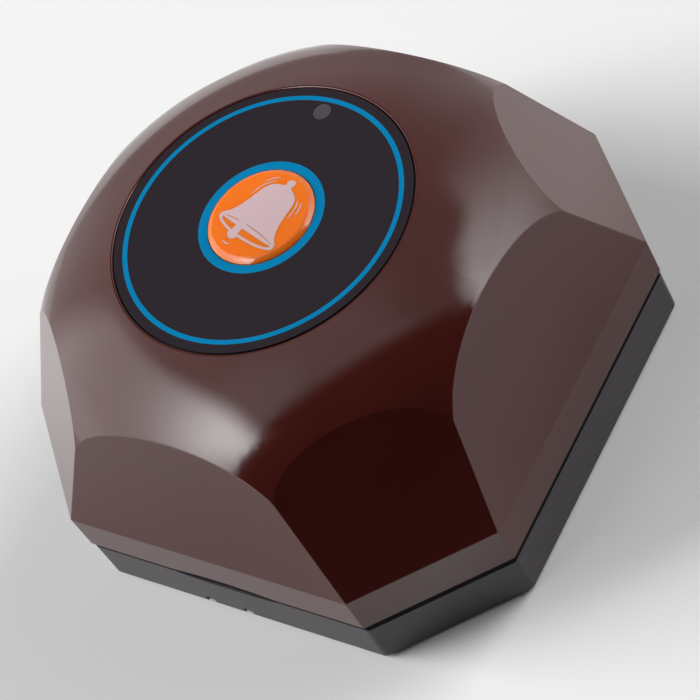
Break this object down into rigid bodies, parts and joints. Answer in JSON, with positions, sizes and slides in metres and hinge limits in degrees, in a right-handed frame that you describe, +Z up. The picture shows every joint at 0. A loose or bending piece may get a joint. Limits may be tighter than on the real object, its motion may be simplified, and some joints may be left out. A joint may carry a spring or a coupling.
{
  "type": "waiter call button",
  "caption": "Tabletop radio call button: a glossy octagonal cover over a dark base, with a round label and a raised push key in its middle.",
  "frame": {"origin": "under the middle of the part, on the surface it stands on", "axes": "+Z up out of the key's top, -Y to the front with the pry slot, +Y towards the indicator window, +X to the right"},
  "size_m": [0.074, 0.074, 0.0405],
  "materials": {
    "cover_plastic": "glossy dark brown moulded plastic",
    "base_plastic": "satin black moulded plastic",
    "gasket_rubber": "matt black rubber",
    "foot_rubber": "matt black rubber",
    "label_film": "satin black printed film",
    "adhesive_film": "clear adhesive film",
    "clear_plastic": "smoked clear plastic",
    "key_plastic": "satin orange plastic",
    "switch_plastic": "black plastic",
    "spring_steel": "bright spring steel",
    "tinned_metal": "tinned metal",
    "board_laminate": "green coated glass-fibre board",
    "screw_steel": "zinc-plated steel",
    "led_epoxy": "red tinted epoxy",
    "chip_resin": "black moulded resin",
    "capacitor_sleeve": "dark blue sleeve",
    "resistor_glaze": "dark glaze on ceramic",
    "capacitor_ceramic": "tan ceramic",
    "copper_wire": "enamelled copper wire",
    "battery_steel": "plain steel case",
    "holder_plastic": "black moulded plastic"
  },
  "bodies": {
    "housing": {"top_cover": "cover_plastic", "base_plate": "base_plastic", "seam_gasket": "gasket_rubber", "rubber_feet": "foot_rubber", "label_overlay": "label_film", "label_adhesive": "adhesive_film", "light_pipe": "clear_plastic", "switch_base": "switch_plastic", "switch_dome": "spring_steel", "switch_cover": "tinned_metal", "switch_terminals": "tinned_metal", "circuit_board": "board_laminate", "board_screws": "screw_steel", "indicator_led": "led_epoxy", "led_leads": "tinned_metal", "encoder_chip": "chip_resin", "encoder_chip_leads": "tinned_metal", "resonator_can": "tinned_metal", "rf_transistor": "chip_resin", "electrolytic_capacitor": "capacitor_sleeve", "chip_resistors": "resistor_glaze", "chip_capacitors": "capacitor_ceramic", "coil_antenna": "copper_wire", "battery": "battery_steel", "battery_holder": "holder_plastic", "battery_contact_plate": "spring_steel", "battery_contact_spring": "spring_steel"},
    "key": {"key_cap": "key_plastic", "switch_plunger": "switch_plastic"}
  },
  "joints": [
    {"name": "key_press", "type": "slide", "parent": "housing", "child": "key", "axis": [0, 0, -1], "range_m": [0, 0.0005], "stiffness_N_per_m": 4000, "springref_m": -0.0002, "deforming": ["switch_dome"]}
  ]
}
